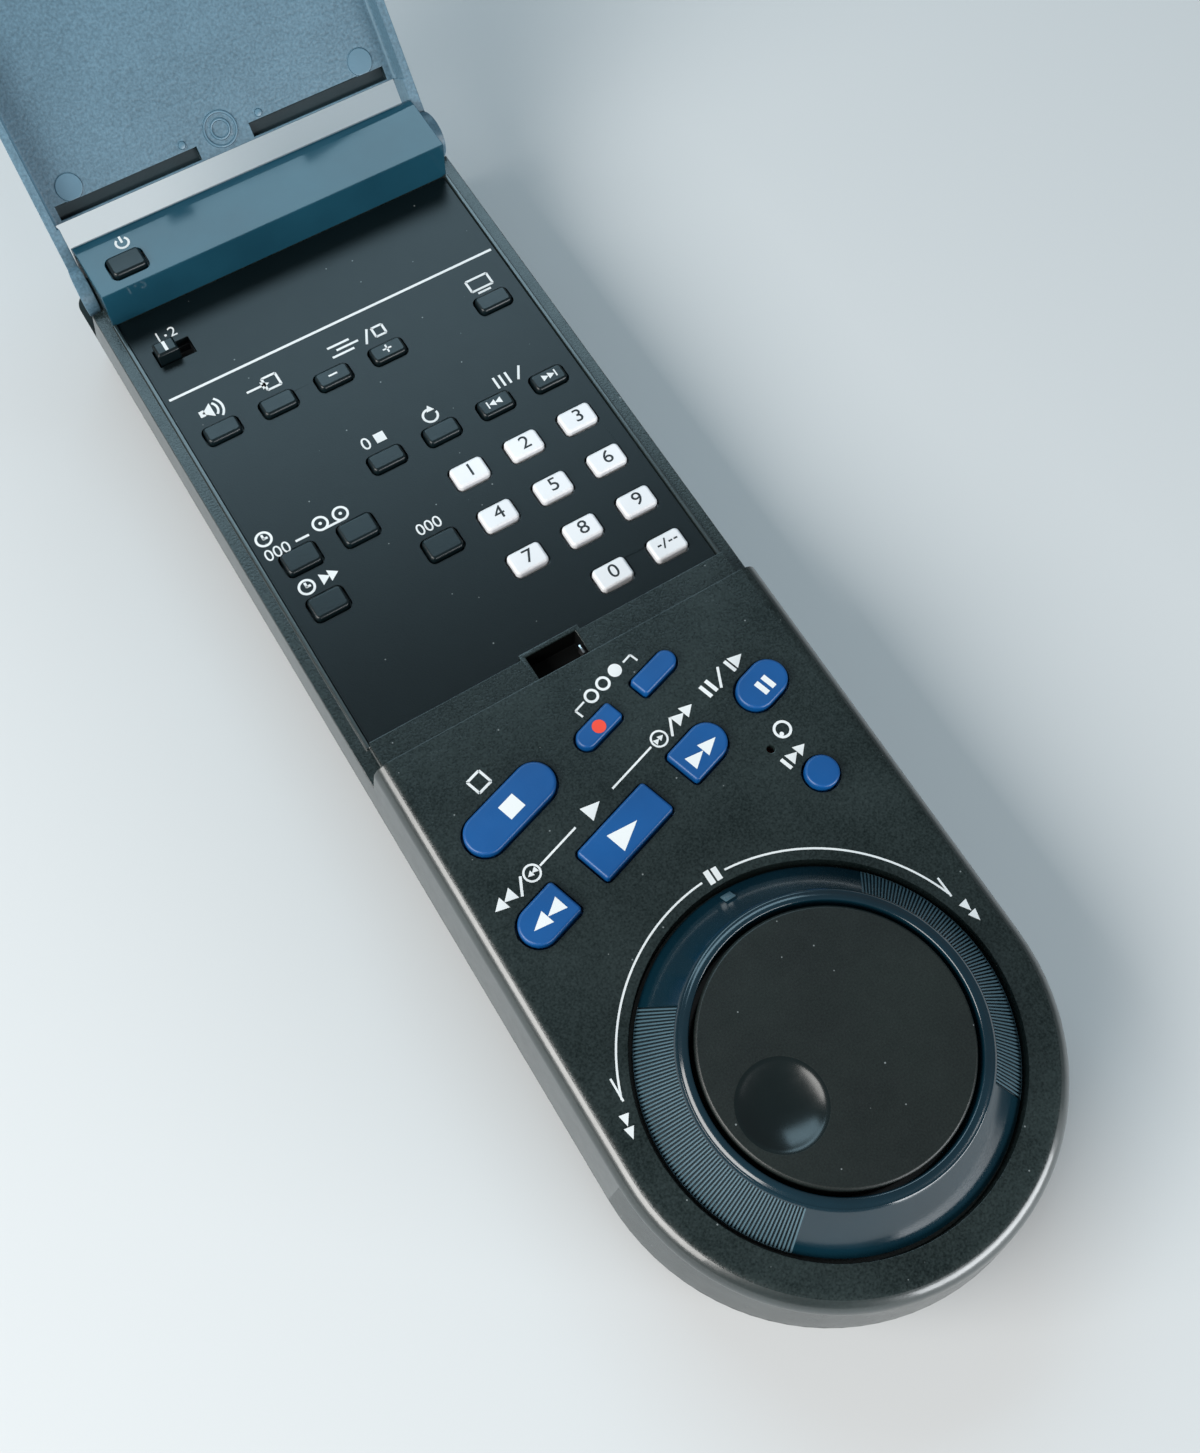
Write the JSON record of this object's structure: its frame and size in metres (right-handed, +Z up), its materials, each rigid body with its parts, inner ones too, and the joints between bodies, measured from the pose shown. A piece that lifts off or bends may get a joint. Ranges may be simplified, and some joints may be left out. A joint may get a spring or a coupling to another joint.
{
  "type": "jog shuttle remote control",
  "caption": "Hand-held video remote control with a flip-up lid over its keypad, slanted transport keys, a spinning jog disc and a sprung shuttle ring.",
  "frame": {"origin": "on the flat underside, below the axis of the dial", "axes": "+X to the right of the deck, +Y along the case from the dial to the lid's hinge, +Z up, away from the underside"},
  "size_m": [0.062, 0.2446, 0.0892],
  "materials": {
    "case_plastic": "moulded ABS with a fine spark-eroded grain, near-black grey",
    "panel_plastic": "moulded ABS with a very fine grain, near-black grey",
    "window_plastic": "polished smoked acrylic",
    "lid_plastic": "moulded ABS with a fine grain, slate blue-grey inside",
    "dial_plastic": "moulded ABS with a fine grain and a bright turned edge",
    "ring_plastic": "polished moulded ABS with fine finger ribs",
    "key_black": "satin moulded ABS, black",
    "key_white": "satin moulded ABS, off-white",
    "key_blue": "satin moulded ABS, mid blue",
    "inner_plastic": "plain moulded plastic",
    "board_laminate": "glass and resin laminate with green lacquer",
    "contact_rubber": "silicone rubber",
    "spring_steel": "nickel-plated spring steel",
    "screw_steel": "zinc-plated and blackened steel",
    "lamp_resin": "clear tinted epoxy resin",
    "cell_sleeve": null
  },
  "bodies": {
    "case": {"case_screws": "screw_steel", "cell_left": "cell_sleeve", "cell_right": "cell_sleeve", "circuit_board": "board_laminate", "contact_plates": "spring_steel", "contact_springs": "spring_steel", "control_chip": "inner_plastic", "dial_bearing": "inner_plastic", "dial_lamp": "lamp_resin", "end_window": "window_plastic", "infrared_lamps": "lamp_resin", "jog_encoder": "inner_plastic", "keypad_mat": "contact_rubber", "keypad_panel": "panel_plastic", "lower_case": "case_plastic", "return_spring": "spring_steel", "shuttle_encoder": "inner_plastic", "switch_body": "inner_plastic", "transport_mat": "contact_rubber", "upper_case": "case_plastic"},
    "lid": {"lid": "lid_plastic"},
    "jog_dial": {"jog_dial": "dial_plastic"},
    "shuttle_ring": {"shuttle_ring": "ring_plastic"},
    "battery_door": {"battery_door": "case_plastic"},
    "switch_knob": {"switch_knob": "key_black"},
    "key_dial_mode": {"key_dial_mode": "key_blue"},
    "key_digit_0": {"key_digit_0": "key_white"},
    "key_digit_1": {"key_digit_1": "key_white"},
    "key_digit_2": {"key_digit_2": "key_white"},
    "key_digit_3": {"key_digit_3": "key_white"},
    "key_digit_4": {"key_digit_4": "key_white"},
    "key_digit_5": {"key_digit_5": "key_white"},
    "key_digit_6": {"key_digit_6": "key_white"},
    "key_digit_7": {"key_digit_7": "key_white"},
    "key_digit_8": {"key_digit_8": "key_white"},
    "key_digit_9": {"key_digit_9": "key_white"},
    "key_forward": {"key_forward": "key_blue"},
    "key_function_01": {"key_function_01": "key_black"},
    "key_function_02": {"key_function_02": "key_black"},
    "key_function_03": {"key_function_03": "key_black"},
    "key_function_04": {"key_function_04": "key_black"},
    "key_function_05": {"key_function_05": "key_black"},
    "key_function_06": {"key_function_06": "key_black"},
    "key_function_07": {"key_function_07": "key_black"},
    "key_function_08": {"key_function_08": "key_black"},
    "key_function_09": {"key_function_09": "key_black"},
    "key_function_10": {"key_function_10": "key_black"},
    "key_function_11": {"key_function_11": "key_black"},
    "key_function_12": {"key_function_12": "key_black"},
    "key_function_13": {"key_function_13": "key_black"},
    "key_pause": {"key_pause": "key_blue"},
    "key_play": {"key_play": "key_blue"},
    "key_power": {"key_power": "key_black"},
    "key_record_left": {"key_record_left": "key_blue"},
    "key_record_right": {"key_record_right": "key_blue"},
    "key_rewind": {"key_rewind": "key_blue"},
    "key_stop": {"key_stop": "key_blue"},
    "key_two_digit": {"key_two_digit": "key_white"}
  },
  "joints": [
    {"name": "lid_hinge", "type": "hinge", "parent": "case", "child": "lid", "pos_m": [0, 0.1521, 0.018], "axis": [1, 0, 0], "range_deg": [0, 129.1]},
    {"name": "jog_spin", "type": "hinge", "parent": "case", "child": "jog_dial", "pos_m": [0, 0, 0.0285], "axis": [0, 0, 1], "continuous": true},
    {"name": "shuttle_turn", "type": "hinge", "parent": "case", "child": "shuttle_ring", "pos_m": [0, 0, 0.0213], "axis": [0, 0, 1], "range_deg": [-75, 75], "stiffness_Nm_per_rad": 0.03},
    {"name": "battery_door_slide", "type": "slide", "parent": "case", "child": "battery_door", "axis": [0, 1, 0], "range_m": [0, 0.06]},
    {"name": "switch_slide", "type": "slide", "parent": "case", "child": "switch_knob", "axis": [1, 0, 0], "range_m": [0, 0.002]},
    {"name": "key_stop_press", "type": "slide", "parent": "case", "child": "key_stop", "axis": [0, 0, -1], "range_m": [0, 0.0008], "stiffness_N_per_m": 600, "springref_m": -0.0005},
    {"name": "key_play_press", "type": "slide", "parent": "case", "child": "key_play", "axis": [0, 0, -1], "range_m": [0, 0.0008], "stiffness_N_per_m": 600, "springref_m": -0.0005},
    {"name": "key_rewind_press", "type": "slide", "parent": "case", "child": "key_rewind", "axis": [0, 0, -1], "range_m": [0, 0.0008], "stiffness_N_per_m": 600, "springref_m": -0.0005},
    {"name": "key_forward_press", "type": "slide", "parent": "case", "child": "key_forward", "axis": [0, 0, -1], "range_m": [0, 0.0008], "stiffness_N_per_m": 600, "springref_m": -0.0005},
    {"name": "key_pause_press", "type": "slide", "parent": "case", "child": "key_pause", "axis": [0, 0, -1], "range_m": [0, 0.0008], "stiffness_N_per_m": 600, "springref_m": -0.0005},
    {"name": "key_record_left_press", "type": "slide", "parent": "case", "child": "key_record_left", "axis": [0, 0, -1], "range_m": [0, 0.0008], "stiffness_N_per_m": 600, "springref_m": -0.0005},
    {"name": "key_record_right_press", "type": "slide", "parent": "case", "child": "key_record_right", "axis": [0, 0, -1], "range_m": [0, 0.0008], "stiffness_N_per_m": 600, "springref_m": -0.0005},
    {"name": "key_dial_mode_press", "type": "slide", "parent": "case", "child": "key_dial_mode", "axis": [0, 0, -1], "range_m": [0, 0.0008], "stiffness_N_per_m": 600, "springref_m": -0.0005},
    {"name": "key_power_press", "type": "slide", "parent": "case", "child": "key_power", "axis": [0, 0, -1], "range_m": [0, 0.0008], "stiffness_N_per_m": 600, "springref_m": -0.0005},
    {"name": "key_digit_0_press", "type": "slide", "parent": "case", "child": "key_digit_0", "axis": [0, 0, -1], "range_m": [0, 0.0008], "stiffness_N_per_m": 600, "springref_m": -0.0005},
    {"name": "key_digit_1_press", "type": "slide", "parent": "case", "child": "key_digit_1", "axis": [0, 0, -1], "range_m": [0, 0.0008], "stiffness_N_per_m": 600, "springref_m": -0.0005},
    {"name": "key_digit_2_press", "type": "slide", "parent": "case", "child": "key_digit_2", "axis": [0, 0, -1], "range_m": [0, 0.0008], "stiffness_N_per_m": 600, "springref_m": -0.0005},
    {"name": "key_digit_3_press", "type": "slide", "parent": "case", "child": "key_digit_3", "axis": [0, 0, -1], "range_m": [0, 0.0008], "stiffness_N_per_m": 600, "springref_m": -0.0005},
    {"name": "key_digit_4_press", "type": "slide", "parent": "case", "child": "key_digit_4", "axis": [0, 0, -1], "range_m": [0, 0.0008], "stiffness_N_per_m": 600, "springref_m": -0.0005},
    {"name": "key_digit_5_press", "type": "slide", "parent": "case", "child": "key_digit_5", "axis": [0, 0, -1], "range_m": [0, 0.0008], "stiffness_N_per_m": 600, "springref_m": -0.0005},
    {"name": "key_digit_6_press", "type": "slide", "parent": "case", "child": "key_digit_6", "axis": [0, 0, -1], "range_m": [0, 0.0008], "stiffness_N_per_m": 600, "springref_m": -0.0005},
    {"name": "key_digit_7_press", "type": "slide", "parent": "case", "child": "key_digit_7", "axis": [0, 0, -1], "range_m": [0, 0.0008], "stiffness_N_per_m": 600, "springref_m": -0.0005},
    {"name": "key_digit_8_press", "type": "slide", "parent": "case", "child": "key_digit_8", "axis": [0, 0, -1], "range_m": [0, 0.0008], "stiffness_N_per_m": 600, "springref_m": -0.0005},
    {"name": "key_digit_9_press", "type": "slide", "parent": "case", "child": "key_digit_9", "axis": [0, 0, -1], "range_m": [0, 0.0008], "stiffness_N_per_m": 600, "springref_m": -0.0005},
    {"name": "key_two_digit_press", "type": "slide", "parent": "case", "child": "key_two_digit", "axis": [0, 0, -1], "range_m": [0, 0.0008], "stiffness_N_per_m": 600, "springref_m": -0.0005},
    {"name": "key_function_01_press", "type": "slide", "parent": "case", "child": "key_function_01", "axis": [0, 0, -1], "range_m": [0, 0.0008], "stiffness_N_per_m": 600, "springref_m": -0.0005},
    {"name": "key_function_02_press", "type": "slide", "parent": "case", "child": "key_function_02", "axis": [0, 0, -1], "range_m": [0, 0.0008], "stiffness_N_per_m": 600, "springref_m": -0.0005},
    {"name": "key_function_03_press", "type": "slide", "parent": "case", "child": "key_function_03", "axis": [0, 0, -1], "range_m": [0, 0.0008], "stiffness_N_per_m": 600, "springref_m": -0.0005},
    {"name": "key_function_04_press", "type": "slide", "parent": "case", "child": "key_function_04", "axis": [0, 0, -1], "range_m": [0, 0.0008], "stiffness_N_per_m": 600, "springref_m": -0.0005},
    {"name": "key_function_05_press", "type": "slide", "parent": "case", "child": "key_function_05", "axis": [0, 0, -1], "range_m": [0, 0.0008], "stiffness_N_per_m": 600, "springref_m": -0.0005},
    {"name": "key_function_06_press", "type": "slide", "parent": "case", "child": "key_function_06", "axis": [0, 0, -1], "range_m": [0, 0.0008], "stiffness_N_per_m": 600, "springref_m": -0.0005},
    {"name": "key_function_07_press", "type": "slide", "parent": "case", "child": "key_function_07", "axis": [0, 0, -1], "range_m": [0, 0.0008], "stiffness_N_per_m": 600, "springref_m": -0.0005},
    {"name": "key_function_08_press", "type": "slide", "parent": "case", "child": "key_function_08", "axis": [0, 0, -1], "range_m": [0, 0.0008], "stiffness_N_per_m": 600, "springref_m": -0.0005},
    {"name": "key_function_09_press", "type": "slide", "parent": "case", "child": "key_function_09", "axis": [0, 0, -1], "range_m": [0, 0.0008], "stiffness_N_per_m": 600, "springref_m": -0.0005},
    {"name": "key_function_10_press", "type": "slide", "parent": "case", "child": "key_function_10", "axis": [0, 0, -1], "range_m": [0, 0.0008], "stiffness_N_per_m": 600, "springref_m": -0.0005},
    {"name": "key_function_11_press", "type": "slide", "parent": "case", "child": "key_function_11", "axis": [0, 0, -1], "range_m": [0, 0.0008], "stiffness_N_per_m": 600, "springref_m": -0.0005},
    {"name": "key_function_12_press", "type": "slide", "parent": "case", "child": "key_function_12", "axis": [0, 0, -1], "range_m": [0, 0.0008], "stiffness_N_per_m": 600, "springref_m": -0.0005},
    {"name": "key_function_13_press", "type": "slide", "parent": "case", "child": "key_function_13", "axis": [0, 0, -1], "range_m": [0, 0.0008], "stiffness_N_per_m": 600, "springref_m": -0.0005}
  ]
}
